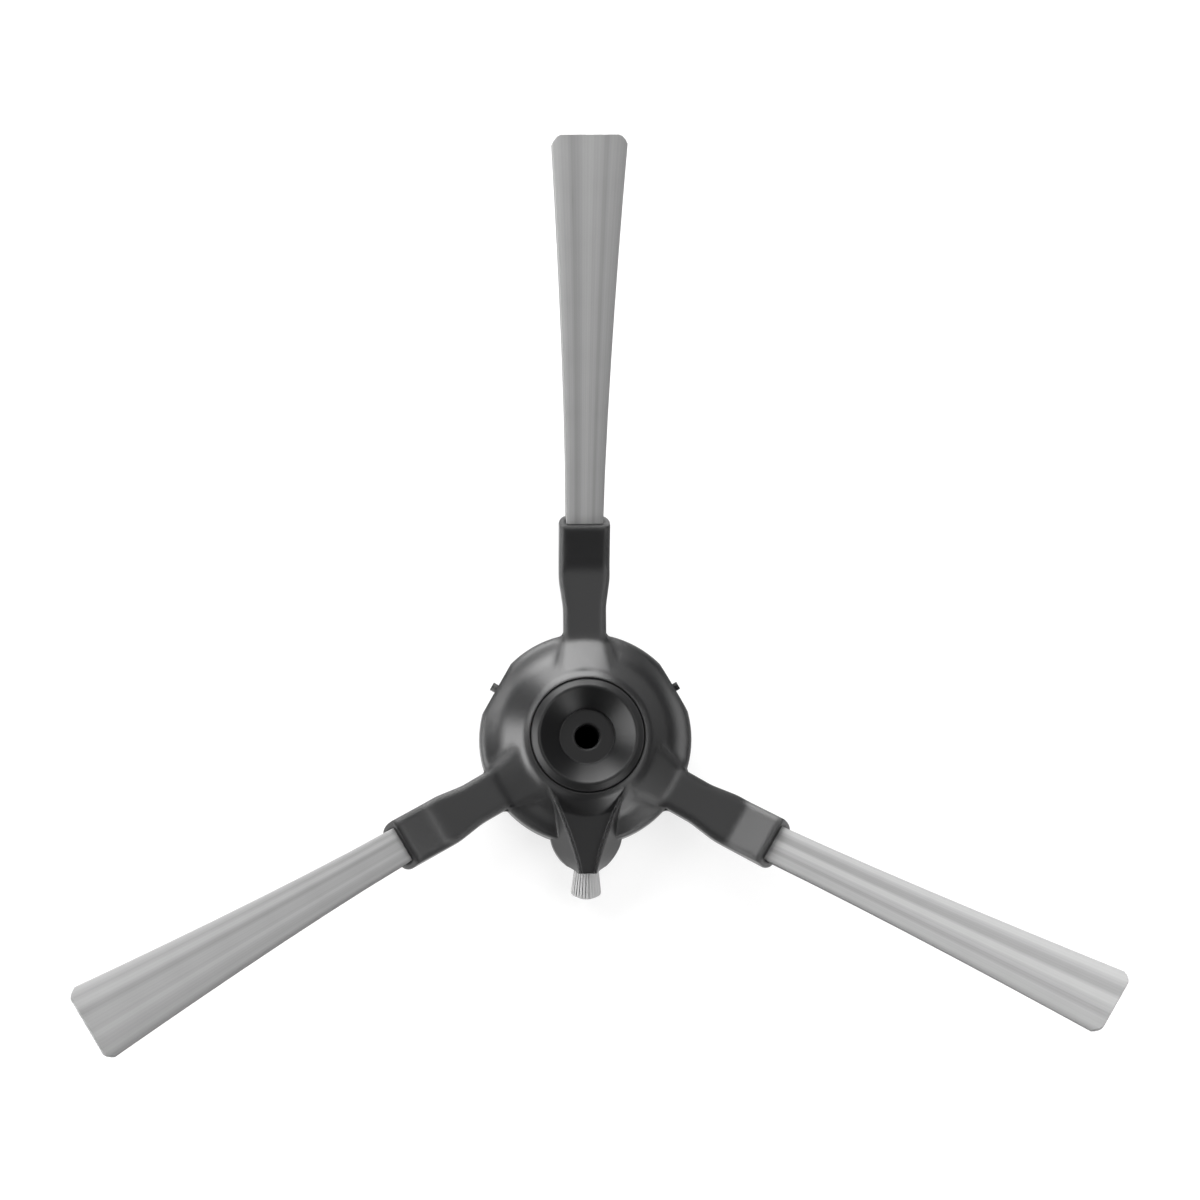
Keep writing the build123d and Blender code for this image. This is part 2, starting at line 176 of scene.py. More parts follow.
def moulded_tpu():
    """Injection moulded TPU: a spark-eroded mould leaves a satin skin, so its highlights are wide and soft."""
    finish = bpy.context.scene.side_brush_hub
    material, tree = new_material("moulded_tpu_satin")
    place = add_node(tree, "ShaderNodeTexCoord").outputs["Object"]
    patches = add_node(tree, "ShaderNodeTexNoise", {"Vector": place, "Scale": 1 / (HUB_PATCH * MM), "Detail": 3.0})
    grain = add_node(tree, "ShaderNodeTexNoise", {"Vector": place, "Scale": 1 / finish.grain, "Detail": 2.0})
    colour = add_node(
        tree, "ShaderNodeMix", {"Factor": patches.outputs["Fac"], "A": finish.colour, "B": finish.worn},
        data_type="RGBA")
    gloss = add_node(
        tree, "ShaderNodeMapRange", {"Value": grain.outputs["Fac"], "To Min": 0.30, "To Max": 0.38})

    # Edges blend widely where the arms leave the bell, and narrowly by the rim and on the crests of the nose
    axes = add_node(tree, "ShaderNodeSeparateXYZ", {"Vector": place}).outputs
    aside = add_node(tree, "ShaderNodeMath", {0: axes["X"]}, operation="ABSOLUTE").outputs[0]
    flat_place = add_node(tree, "ShaderNodeCombineXYZ", {"X": axes["X"], "Y": axes["Y"]}).outputs[0]
    off_axis = add_node(tree, "ShaderNodeVectorMath", {0: flat_place}, operation="LENGTH").outputs["Value"]
    bands = ((aside, NOSE_SIDES), (axes["Y"], NOSE_TOP), (off_axis, RIM_BAND))
    beside_nose, above_nose, off_rim = (
        add_node(
            tree, "ShaderNodeMapRange",
            {"Value": way, "From Min": near * MM, "From Max": far * MM}).outputs["Result"]
        for way, (near, far) in bands
    )
    off_nose = add_node(tree, "ShaderNodeMath", {0: beside_nose, 1: above_nose}, operation="MAXIMUM").outputs[0]
    broad = add_node(tree, "ShaderNodeMath", {0: off_nose, 1: off_rim}, operation="MINIMUM").outputs[0]
    softening = add_node(
        tree, "ShaderNodeMapRange", {"Value": broad, "To Min": finish.fine_edge, "To Max": finish.edge})
    edges = add_node(tree, "ShaderNodeBevel", {"Radius": softening.outputs["Result"]}, samples=6)
    bump = add_node(
        tree, "ShaderNodeBump",
        {"Strength": 0.12, "Distance": HUB_GRAIN_DEPTH * MM, "Height": grain.outputs["Fac"],
         "Normal": edges.outputs["Normal"]})
    shader = add_node(
        tree, "ShaderNodeBsdfPrincipled",
        {"Base Color": colour.outputs["Result"], "Roughness": gloss.outputs["Result"], "IOR": 1.48,
         "Specular IOR Level": 0.72, "Normal": bump.outputs["Normal"]})
    add_node(tree, "ShaderNodeOutputMaterial", {"Surface": shader.outputs["BSDF"]})
    return material


def moulded_abs():
    """Moulded ABS from a smoother mould: darker and duller than the hub round it, with no grain."""
    finish = bpy.context.scene.side_brush_hub
    material, tree = new_material("moulded_abs_semi_gloss")
    place = add_node(tree, "ShaderNodeTexCoord").outputs["Object"]
    flow = add_node(tree, "ShaderNodeTexNoise", {"Vector": place, "Scale": 1 / (CORE_FLOW * MM), "Detail": 2.0})
    colour = add_node(
        tree, "ShaderNodeMix", {"Factor": flow.outputs["Fac"], "A": finish.core, "B": finish.colour},
        data_type="RGBA")
    gloss = add_node(tree, "ShaderNodeMapRange", {"Value": flow.outputs["Fac"], "To Min": 0.39, "To Max": 0.43})
    edges = add_node(tree, "ShaderNodeBevel", {"Radius": finish.core_edge}, samples=6)
    shader = add_node(
        tree, "ShaderNodeBsdfPrincipled",
        {"Base Color": colour.outputs["Result"], "Roughness": gloss.outputs["Result"], "IOR": 1.53,
         "Specular IOR Level": 0.36, "Normal": edges.outputs["Normal"]})
    add_node(tree, "ShaderNodeOutputMaterial", {"Surface": shader.outputs["BSDF"]})
    return material


def drawn_nylon():
    """Drawn nylon filament: smooth grey threads, each a little lighter or darker, in painted streaks of shade and
    light that stand for their clumps, with painted shade towards the root.
    """
    bristles = bpy.context.scene.side_brush_bristles
    material, tree = new_material("drawn_nylon_filament")
    shade = add_node(tree, "ShaderNodeAttribute", attribute_name="shade")
    colour = add_node(
        tree, "ShaderNodeMix", {"Factor": shade.outputs["Fac"], "A": bristles.dark, "B": bristles.light},
        data_type="RGBA")
    gloss = add_node(tree, "ShaderNodeMapRange", {"Value": shade.outputs["Fac"], "To Min": 0.6, "To Max": 0.5})
    shader = add_node(
        tree, "ShaderNodeBsdfPrincipled",
        {"Base Color": colour.outputs["Result"], "Roughness": gloss.outputs["Result"], "IOR": 1.53,
         "Specular IOR Level": 0.3})
    add_node(tree, "ShaderNodeOutputMaterial", {"Surface": shader.outputs["BSDF"]})
    return material


def new_tuft_tree(name, sizes):
    """A node tree with one named input for each size, and its group input and output."""
    tree = bpy.data.node_groups.new(name, "GeometryNodeTree")
    tree.is_modifier = True
    tree.interface.new_socket("Geometry", in_out="OUTPUT", socket_type="NodeSocketGeometry")
    for label, kind in sizes.items():
        tree.interface.new_socket(label, in_out="INPUT", socket_type=kind)
    return tree, add_node(tree, "NodeGroupInput").outputs


FLAT_SIZES = {
    "Bristles": "NodeSocketInt", "Diameter": "NodeSocketFloat", "Wave": "NodeSocketFloat",
    "Length": "NodeSocketFloat", "Root Size": "NodeSocketVector", "Bead Size": "NodeSocketVector",
    "Root Depth": "NodeSocketFloat", "Tip Width": "NodeSocketFloat", "Tip Thickness": "NodeSocketFloat",
    "Corner": "NodeSocketFloat", "Trim": "NodeSocketFloat", "Lean": "NodeSocketFloat", "Spread": "NodeSocketFloat",
    "Ridges": "NodeSocketFloat", "Ridge Depth": "NodeSocketFloat", "Seed": "NodeSocketInt",
    "Place": "NodeSocketVector", "Turn": "NodeSocketRotation", "Nylon": "NodeSocketMaterial",
}
ROUND_SIZES = {
    "Bristles": "NodeSocketInt", "Diameter": "NodeSocketFloat", "Wave": "NodeSocketFloat",
    "Length": "NodeSocketFloat", "Root Size": "NodeSocketVector", "Base Radius": "NodeSocketFloat",
    "Tip Radius": "NodeSocketFloat", "Dome": "NodeSocketFloat", "Seed": "NodeSocketInt",
    "Place": "NodeSocketVector", "Turn": "NodeSocketRotation", "Nylon": "NodeSocketMaterial",
}
SEGMENTS = 7  # of a filament, lengthwise
SIDES = 4  # of a filament, round it
SKIN_EVERY = 6  # in a flat tuft, one filament of so many lies in the upper skin, and one in the lower
INNER_SHARE = 0.65  # of the filaments of a round tuft; the rest lie combed in its skin
COMBED_SHARE = 0.75  # of a filament's shading that follows the skin of the whole tuft
EVEN_STEPS = (0.6180340, 0.7548777, 0.5698403)  # steps that spread any number of filaments evenly in three ways
SEED_STEP = 17.0  # filaments by which one seed shifts the spread from the next
STRAY_STEP = 0.37  # from one filament to the next in the noise by which they stray
STRAY_SCALE = 1.6
SKIN_ROUNDING = 5.0  # how far a flat tuft's skin turns outwards at its edges
STREAK_SCALE = 4.5  # painted streaks of shade and light across a flat tuft
STREAK_NOISE = (0.3, 0.7)  # the part of the noise that the streaks use
STREAK_SHADES = (0.16, 0.42)  # from the shaded grey to the lit grey, as painted shade and light
LONG_LUCK_SHADE = 0.05  # difference from filament to filament
LONG_TIP_PAINTED_LIGHT = 0.14  # painted light towards the tip, leaving painted shade by the root
# the short tuft is painted lighter than the long ones: painted light on a tuft that faces away from most lamps
SHORT_PAINTED_LIGHT = 0.95
SHORT_LUCK_SHADE = 0.2


def filaments(tree, sizes):
    """Straight filaments, one on another, with what places them: how far along, and three even spreads."""
    line = add_node(tree, "GeometryNodeCurvePrimitiveLine", {"End": (1.0, 0.0, 0.0)})
    points = add_node(
        tree, "GeometryNodeResampleCurve", {"Curve": line.outputs["Curve"], "Count": SEGMENTS + 1}, mode="COUNT")
    copies = add_node(
        tree, "GeometryNodeDuplicateElements", {"Geometry": points.outputs["Curve"], "Amount": sizes["Bristles"]},
        domain="SPLINE")
    along = add_node(tree, "GeometryNodeSplineParameter").outputs["Factor"]
    step = add_node(
        tree, "ShaderNodeMath", {0: sizes["Seed"], 1: SEED_STEP, 2: copies.outputs["Duplicate Index"]},
        operation="MULTIPLY_ADD").outputs[0]
    dice = add_node(tree, "ShaderNodeVectorMath", {0: EVEN_STEPS, "Scale": step}, operation="SCALE").outputs[0]
    dice = add_node(tree, "ShaderNodeVectorMath", {0: dice}, operation="FRACTION").outputs[0]
    dice = add_node(tree, "ShaderNodeVectorMath", {0: dice, 1: (0.5, 0.5, 0.5)}, operation="SUBTRACT").outputs[0]
    dice = add_node(tree, "ShaderNodeSeparateXYZ", {"Vector": dice}).outputs
    return copies.outputs, along, dice


def strayed(tree, sizes, copies, along, place):
    """The filaments at their places, each strayed a little from its line by a slow noise."""
    number = add_node(
        tree, "ShaderNodeMath", {0: copies["Duplicate Index"], 1: STRAY_STEP}, operation="MULTIPLY").outputs[0]
    sample = add_node(tree, "ShaderNodeCombineXYZ", {"X": along, "Y": number, "Z": sizes["Seed"]})
    noise = add_node(tree, "ShaderNodeTexNoise", {"Vector": sample.outputs[0], "Scale": STRAY_SCALE, "Detail": 0.0})
    drift = add_node(
        tree, "ShaderNodeVectorMath", {0: noise.outputs["Color"], 1: (0.5, 0.5, 0.5)}, operation="SUBTRACT")
    reach = add_node(tree, "ShaderNodeMath", {0: along, 1: sizes["Wave"]}, operation="MULTIPLY").outputs[0]
    drift = add_node(
        tree, "ShaderNodeVectorMath", {0: drift.outputs[0], "Scale": reach}, operation="SCALE")
    return add_node(
        tree, "GeometryNodeSetPosition",
        {"Geometry": copies["Geometry"], "Position": place, "Offset": drift.outputs[0]}).outputs["Geometry"]


def finish_tuft(tree, sizes, curves, shade, skin, roots):
    """Give the filaments their thickness, shade and nylon, join them to their root and put the tuft in place."""
    shaded = add_node(
        tree, "GeometryNodeStoreNamedAttribute", {"Geometry": curves, "Name": "shade", "Value": shade},
        data_type="FLOAT", domain="POINT")
    shaded = add_node(
        tree, "GeometryNodeStoreNamedAttribute",
        {"Geometry": shaded.outputs["Geometry"], "Name": "skin", "Value": skin},
        data_type="FLOAT_VECTOR", domain="POINT")
    radius = add_node(tree, "ShaderNodeMath", {0: sizes["Diameter"], 1: 0.5}, operation="MULTIPLY").outputs[0]
    ring = add_node(tree, "GeometryNodeCurvePrimitiveCircle", {"Resolution": SIDES, "Radius": radius})
    tubes = add_node(
        tree, "GeometryNodeCurveToMesh",
        {"Curve": shaded.outputs["Geometry"], "Profile Curve": ring.outputs["Curve"], "Fill Caps": True})
    tuft = add_node(tree, "GeometryNodeJoinGeometry", {"Geometry": tubes.outputs["Mesh"]})
    for root in roots:
        tree.links.new(root, tuft.inputs["Geometry"])
    placed = add_node(
        tree, "GeometryNodeTransform",
        {"Geometry": tuft.outputs["Geometry"], "Translation": sizes["Place"], "Rotation": sizes["Turn"]})

    # The filaments lie so close that light falls on them as on one combed skin, but not on their small cut ends
    own = add_node(tree, "GeometryNodeInputNormal").outputs["Normal"]
    face_area = add_node(tree, "GeometryNodeInputMeshFaceArea").outputs["Area"]
    end_area = add_node(
        tree, "ShaderNodeMath", {0: sizes["Diameter"], 1: sizes["Diameter"]}, operation="MULTIPLY").outputs[0]
    is_side = add_node(tree, "ShaderNodeMath", {0: face_area, 1: end_area}, operation="GREATER_THAN").outputs[0]
    share = add_node(tree, "ShaderNodeMath", {0: is_side, 1: COMBED_SHARE}, operation="MULTIPLY").outputs[0]
    skin = add_node(
        tree, "GeometryNodeInputNamedAttribute", {"Name": "skin"}, data_type="FLOAT_VECTOR").outputs["Attribute"]
    skin = add_node(tree, "FunctionNodeRotateVector", {"Vector": skin, "Rotation": sizes["Turn"]}).outputs["Vector"]
    combed = add_node(
        tree, "ShaderNodeMix", {"Factor": share, "A": own, "B": skin}, data_type="VECTOR").outputs["Result"]
    combed = add_node(
        tree, "GeometryNodeSetMeshNormal", {"Mesh": placed.outputs["Geometry"], "Custom Normal": combed},
        mode="FREE", domain="CORNER")
    real = add_node(tree, "GeometryNodeRealizeInstances", {"Geometry": combed.outputs["Mesh"]})
    made = add_node(
        tree, "GeometryNodeSetMaterial", {"Geometry": real.outputs["Geometry"], "Material": sizes["Nylon"]})
    add_node(tree, "NodeGroupOutput", {"Geometry": made.outputs["Geometry"]})


def flat_tuft_tree():
    """A flat fan: filaments leave a narrow root side by side, spread towards the tip, and gather into low ridges."""
    tree, sizes = new_tuft_tree("flat_tuft", FLAT_SIZES)
    copies, along, dice = filaments(tree, sizes)
    across, through, luck = dice
    root = add_node(tree, "ShaderNodeSeparateXYZ", {"Vector": sizes["Root Size"]}).outputs

    # Layers: some filaments take their turn in the upper skin and some in the lower, and the rest fill the inside
    turn = add_node(
        tree, "ShaderNodeMath", {0: copies["Duplicate Index"], 1: SKIN_EVERY}, operation="MODULO").outputs[0]
    upper = add_node(tree, "ShaderNodeMath", {0: turn, 1: 0.0, 2: 0.1}, operation="COMPARE").outputs[0]
    lower = add_node(tree, "ShaderNodeMath", {0: turn, 1: SKIN_EVERY // 2, 2: 0.1}, operation="COMPARE").outputs[0]
    layer = add_node(tree, "ShaderNodeMath", {0: through, 1: upper}, operation="ADD").outputs[0]
    layer = add_node(tree, "ShaderNodeMath", {0: layer, 1: lower}, operation="SUBTRACT").outputs[0]
    layer = add_node(tree, "ShaderNodeClamp", {"Value": layer, "Min": -0.5, "Max": 0.5}).outputs["Result"]

    # Lengthwise: from inside the sleeve to an end trimmed straight and upright, with its corners worn round
    half_tip = add_node(tree, "ShaderNodeMath", {0: sizes["Tip Width"], 1: 0.5}, operation="MULTIPLY").outputs[0]
    flat_half = add_node(tree, "ShaderNodeMath", {0: half_tip, 1: sizes["Corner"]}, operation="SUBTRACT").outputs[0]
    off_middle = add_node(tree, "ShaderNodeMath", {0: across}, operation="ABSOLUTE").outputs[0]
    off_middle = add_node(
        tree, "ShaderNodeMath", {0: off_middle, 1: sizes["Tip Width"]}, operation="MULTIPLY").outputs[0]
    past_flat = add_node(tree, "ShaderNodeMath", {0: off_middle, 1: flat_half}, operation="SUBTRACT").outputs[0]
    past_flat = add_node(tree, "ShaderNodeMath", {0: past_flat, 1: 0.0}, operation="MAXIMUM").outputs[0]
    share = add_node(tree, "ShaderNodeMath", {0: past_flat, 1: sizes["Corner"]}, operation="DIVIDE").outputs[0]
    share = add_node(tree, "ShaderNodeMath", {0: share, 1: 2.0}, operation="POWER").outputs[0]
    worn = add_node(tree, "ShaderNodeMath", {0: share, 1: sizes["Corner"]}, operation="MULTIPLY").outputs[0]
    ragged = add_node(tree, "ShaderNodeMath", {0: luck, 1: sizes["Wave"]}, operation="MULTIPLY").outputs[0]
    end = add_node(tree, "ShaderNodeMath", {0: sizes["Length"], 1: worn}, operation="SUBTRACT").outputs[0]
    end = add_node(tree, "ShaderNodeMath", {0: end, 1: ragged}, operation="SUBTRACT").outputs[0]
    depth = add_node(tree, "ShaderNodeMath", {0: 0.5, 1: layer}, operation="SUBTRACT").outputs[0]
    depth = add_node(tree, "ShaderNodeMath", {0: depth, 1: sizes["Tip Thickness"]}, operation="MULTIPLY").outputs[0]
    trim = add_node(tree, "ShaderNodeMath", {0: depth, 1: sizes["Trim"]}, operation="MULTIPLY").outputs[0]
    end = add_node(tree, "ShaderNodeMath", {0: end, 1: trim}, operation="SUBTRACT").outputs[0]
    start = add_node(tree, "ShaderNodeMath", {0: sizes["Root Depth"], 1: -2.0}, operation="MULTIPLY").outputs[0]
    x = add_node(tree, "ShaderNodeMix", {"Factor": along, "A": start, "B": end}, data_type="FLOAT").outputs["Result"]

    # Across: the fan opens slowly at first, and leans as a whole
    opening = add_node(tree, "ShaderNodeMath", {0: along, 1: sizes["Spread"]}, operation="POWER").outputs[0]
    width = add_node(
        tree, "ShaderNodeMix", {"Factor": opening, "A": root["Y"], "B": sizes["Tip Width"]},
        data_type="FLOAT").outputs["Result"]
    lean = add_node(tree, "ShaderNodeMath", {0: sizes["Lean"]}, operation="TANGENT").outputs[0]
    lean = add_node(tree, "ShaderNodeMath", {0: lean, 1: x}, operation="MULTIPLY").outputs[0]
    y = add_node(tree, "ShaderNodeMath", {0: across, 1: width, 2: lean}, operation="MULTIPLY_ADD").outputs[0]

    # Through: thinner along the valleys between the ridges
    phase = add_node(tree, "ShaderNodeMath", {0: sizes["Ridges"], 1: 2 * pi}, operation="MULTIPLY").outputs[0]
    phase = add_node(tree, "ShaderNodeMath", {0: phase, 1: across}, operation="MULTIPLY").outputs[0]
    ridge = add_node(tree, "ShaderNodeMath", {0: phase}, operation="COSINE").outputs[0]
    valley = add_node(tree, "ShaderNodeMath", {0: ridge, 1: -1.0}, operation="ADD").outputs[0]
    thickness = add_node(
        tree, "ShaderNodeMix", {"Factor": along, "A": root["Z"], "B": sizes["Tip Thickness"]},
        data_type="FLOAT").outputs["Result"]
    thickness = add_node(
        tree, "ShaderNodeMath", {0: valley, 1: sizes["Ridge Depth"], 2: thickness},
        operation="MULTIPLY_ADD").outputs[0]
    z = add_node(tree, "ShaderNodeMath", {0: layer, 1: thickness}, operation="MULTIPLY").outputs[0]
    place = add_node(tree, "ShaderNodeCombineXYZ", {"X": x, "Y": y, "Z": z}).outputs[0]
    curves = strayed(tree, sizes, copies, along, place)

    # Shade: broad painted streaks of light and shade across the fan, a little luck for each filament, and painted
    # light towards the tip with painted shade by the root
    band = add_node(tree, "ShaderNodeMath", {0: across, 1: sizes["Seed"]}, operation="ADD").outputs[0]
    painted_streak = add_node(
        tree, "ShaderNodeTexNoise", {"W": band, "Scale": STREAK_SCALE, "Detail": 1.0},
        noise_dimensions="1D").outputs["Fac"]
    shade = add_node(
        tree, "ShaderNodeMapRange",
        {"Value": painted_streak, "From Min": STREAK_NOISE[0], "From Max": STREAK_NOISE[1],
         "To Min": STREAK_SHADES[0], "To Max": STREAK_SHADES[1]}).outputs["Result"]
    for cause, amount in ((luck, LONG_LUCK_SHADE), (along, LONG_TIP_PAINTED_LIGHT)):
        shade = add_node(
            tree, "ShaderNodeMath", {0: cause, 1: amount, 2: shade}, operation="MULTIPLY_ADD").outputs[0]

    # Skin: flat above and below, rounded a little towards both edges
    rounding = add_node(tree, "ShaderNodeMath", {0: across, 1: 3.0}, operation="POWER").outputs[0]
    rounding = add_node(tree, "ShaderNodeMath", {0: rounding, 1: SKIN_ROUNDING}, operation="MULTIPLY").outputs[0]
    side = add_node(tree, "ShaderNodeMath", {0: layer, 1: 2.0}, operation="MULTIPLY").outputs[0]
    skin = add_node(tree, "ShaderNodeCombineXYZ", {"Y": rounding, "Z": side}).outputs[0]

    # Fused root with its wider bead, hidden in the sleeve
    root_start = add_node(tree, "ShaderNodeMath", {0: root["X"], 1: sizes["Root Depth"]}, operation="ADD").outputs[0]
    root_start = add_node(tree, "ShaderNodeMath", {0: root_start, 1: -1.0}, operation="MULTIPLY").outputs[0]
    root_end = add_node(tree, "ShaderNodeMath", {0: root["X"], 1: 0.5, 2: root_start}, operation="MULTIPLY_ADD")
    root_end = add_node(tree, "ShaderNodeCombineXYZ", {"X": root_end.outputs[0]}).outputs[0]
    bead = add_node(tree, "ShaderNodeSeparateXYZ", {"Vector": sizes["Bead Size"]}).outputs
    bead_end = add_node(tree, "ShaderNodeMath", {0: bead["X"], 1: 0.5, 2: root_start}, operation="MULTIPLY_ADD")
    bead_end = add_node(tree, "ShaderNodeCombineXYZ", {"X": bead_end.outputs[0]}).outputs[0]
    roots = []
    for size, middle in ((sizes["Root Size"], root_end), (sizes["Bead Size"], bead_end)):
        block = add_node(tree, "GeometryNodeMeshCube", {"Size": size})
        moved = add_node(tree, "GeometryNodeTransform", {"Geometry": block.outputs["Mesh"], "Translation": middle})
        roots.append(moved.outputs["Geometry"])
    finish_tuft(tree, sizes, curves, shade, skin, roots)
    return tree


def round_tuft_tree():
    """A round tuft: filaments leave a small round root, spread a little and end in a low dome."""
    tree, sizes = new_tuft_tree("round_tuft", ROUND_SIZES)
    copies, along, dice = filaments(tree, sizes)
    root = add_node(tree, "ShaderNodeSeparateXYZ", {"Vector": sizes["Root Size"]}).outputs
    area = add_node(tree, "ShaderNodeMath", {0: dice["X"], 1: 0.5}, operation="ADD").outputs[0]
    layer = add_node(tree, "ShaderNodeMapRange", {"Value": area, "From Max": INNER_SHARE}).outputs["Result"]
    out = add_node(tree, "ShaderNodeMath", {0: layer}, operation="SQRT").outputs[0]
    turn = add_node(tree, "ShaderNodeMath", {0: dice["Y"], 1: 2 * pi}, operation="MULTIPLY").outputs[0]
    radius = add_node(
        tree, "ShaderNodeMix", {"Factor": along, "A": sizes["Base Radius"], "B": sizes["Tip Radius"]},
        data_type="FLOAT").outputs["Result"]
    radius = add_node(tree, "ShaderNodeMath", {0: radius, 1: out}, operation="MULTIPLY").outputs[0]
    turn_cos = add_node(tree, "ShaderNodeMath", {0: turn}, operation="COSINE").outputs[0]
    turn_sin = add_node(tree, "ShaderNodeMath", {0: turn}, operation="SINE").outputs[0]
    y = add_node(tree, "ShaderNodeMath", {0: radius, 1: turn_cos}, operation="MULTIPLY").outputs[0]
    z = add_node(tree, "ShaderNodeMath", {0: radius, 1: turn_sin}, operation="MULTIPLY").outputs[0]
    domed = add_node(tree, "ShaderNodeMath", {0: layer, 1: sizes["Dome"]}, operation="MULTIPLY").outputs[0]
    end = add_node(tree, "ShaderNodeMath", {0: sizes["Length"], 1: domed}, operation="SUBTRACT").outputs[0]
    x = add_node(tree, "ShaderNodeMath", {0: along, 1: end}, operation="MULTIPLY").outputs[0]
    place = add_node(tree, "ShaderNodeCombineXYZ", {"X": x, "Y": y, "Z": z}).outputs[0]
    curves = strayed(tree, sizes, copies, along, place)
    # Painted light: the short tuft's bristles are shaded lighter than the long ones
    shade = add_node(
        tree, "ShaderNodeMath", {0: dice["Z"], 1: SHORT_LUCK_SHADE, 2: SHORT_PAINTED_LIGHT},
        operation="MULTIPLY_ADD").outputs[0]

    skin = add_node(tree, "ShaderNodeCombineXYZ", {"Y": turn_cos, "Z": turn_sin}).outputs[0]

    # Fused round root, hidden in the nose
    back = add_node(tree, "ShaderNodeMath", {0: root["X"], 1: -1.0}, operation="MULTIPLY").outputs[0]
    back = add_node(tree, "ShaderNodeCombineXYZ", {"X": back}).outputs[0]
    core = add_node(tree, "GeometryNodeCurvePrimitiveLine", {"Start": back, "End": (0.0, 0.0, 0.0)})
    core_radius = add_node(tree, "ShaderNodeMath", {0: root["Y"], 1: 0.5}, operation="MULTIPLY").outputs[0]
    core_ring = add_node(tree, "GeometryNodeCurvePrimitiveCircle", {"Resolution": 24, "Radius": core_radius})
    plug = add_node(
        tree, "GeometryNodeCurveToMesh",
        {"Curve": core.outputs["Curve"], "Profile Curve": core_ring.outputs["Curve"], "Fill Caps": True})
    finish_tuft(tree, sizes, curves, shade, skin, [plug.outputs["Mesh"]])
    return tree


def grow(node, tree, values):
    """Run a tuft's tree with its sizes and keep the result as a plain mesh that stands for the CAD node."""
    piece = bpy.data.objects.new(node + "_bristles", bpy.data.meshes.new(node + "_bristles"))
    bpy.context.scene.collection.objects.link(piece)
    modifier = piece.modifiers.new("tuft", "NODES")
    modifier.node_group = tree
    for item in tree.interface.items_tree:
        if item.in_out == "INPUT":
            modifier[item.identifier] = values[item.name]
    bpy.context.view_layer.update()
    made = piece.evaluated_get(bpy.context.evaluated_depsgraph_get())
    mesh = bpy.data.meshes.new_from_object(made)
    piece.modifiers.clear()
    piece.data = mesh
    mesh.shade_smooth()
    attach(piece, "root")
    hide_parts(node)


class FinishHub(bpy.types.Operator):
    """Give the hub moulding and the drive core their plastics"""
    bl_idname = "side_brush.finish_hub"
    bl_label = "Finish the hub"

    def execute(self, context):
        for node, material in (("hub_moulding", moulded_tpu()), ("drive_core", moulded_abs())):
            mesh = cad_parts[node].data
            mesh.materials.clear()
            mesh.materials.append(material)
        return {"FINISHED"}


class GrowLongTufts(bpy.types.Operator):
    """Grow the three flat fans of bristles out of the arms' sleeves"""
    bl_idname = "side_brush.grow_long_tufts"
    bl_label = "Grow the long tufts"

    def execute(self, context):
        bristles = context.scene.side_brush_bristles
        nylon = bpy.data.materials.get("drawn_nylon_filament") or drawn_nylon()
        tree = flat_tuft_tree()
        length = (TIP_RADIUS - MOUTH_RADIUS) / cos(radians(LONG_TILT))
        arms = zip(ARM_ANGLES, LONG_LEANS, LONG_TIP_WIDTHS)
        for number, (angle, lean, tip_width) in enumerate(arms, start=1):
            turn = radians(angle)
            grow(f"long_tuft_{number}", tree, {
                "Bristles": bristles.long_count,
                "Diameter": bristles.diameter,
                "Wave": bristles.wave,
                "Length": length * MM,
                "Root Size": Vector(LONG_ROOT_SIZE) * MM,
                "Bead Size": Vector(LONG_BEAD_SIZE) * MM,
                "Root Depth": LONG_ROOT_DEPTH * MM,
                "Tip Width": tip_width * MM,
                "Tip Thickness": LONG_TIP_THICKNESS * MM,
                "Corner": LONG_TIP_CORNER * MM,
                "Trim": tan(radians(LONG_TILT)),
                "Lean": radians(lean),
                "Spread": LONG_SPREAD,
                "Ridges": float(LONG_RIDGES),
                "Ridge Depth": LONG_RIDGE_DEPTH * MM,
                "Seed": number,
                "Place": Vector((MOUTH_RADIUS * cos(turn), MOUTH_RADIUS * sin(turn), MOUTH_HEIGHT)) * MM,
                "Turn": (0.0, -radians(LONG_TILT), turn),
                "Nylon": nylon,
            })
        return {"FINISHED"}


class GrowShortTuft(bpy.types.Operator):
    """Grow the small round tuft out of the tip of the nose"""
    bl_idname = "side_brush.grow_short_tuft"
    bl_label = "Grow the short tuft"

    def execute(self, context):
        bristles = context.scene.side_brush_bristles
        nylon = bpy.data.materials.get("drawn_nylon_filament") or drawn_nylon()
        turn = radians(NOSE_ANGLE)
        grow("short_tuft", round_tuft_tree(), {
            "Bristles": bristles.short_count,
            "Diameter": bristles.diameter,
            "Wave": bristles.wave,
            "Length": SHORT_LENGTH * MM,
            "Root Size": Vector(SHORT_ROOT_SIZE) * MM,
            "Base Radius": SHORT_BASE_RADIUS * MM,
            "Tip Radius": SHORT_TIP_RADIUS * MM,
            "Dome": SHORT_DOME * MM,
            "Seed": SHORT_SEED,
            "Place": Vector((SHORT_RADIUS * cos(turn), SHORT_RADIUS * sin(turn), SHORT_HEIGHT)) * MM,
            "Turn": (0.0, -radians(SHORT_TILT), turn),
            "Nylon": nylon,
        })
        return {"FINISHED"}


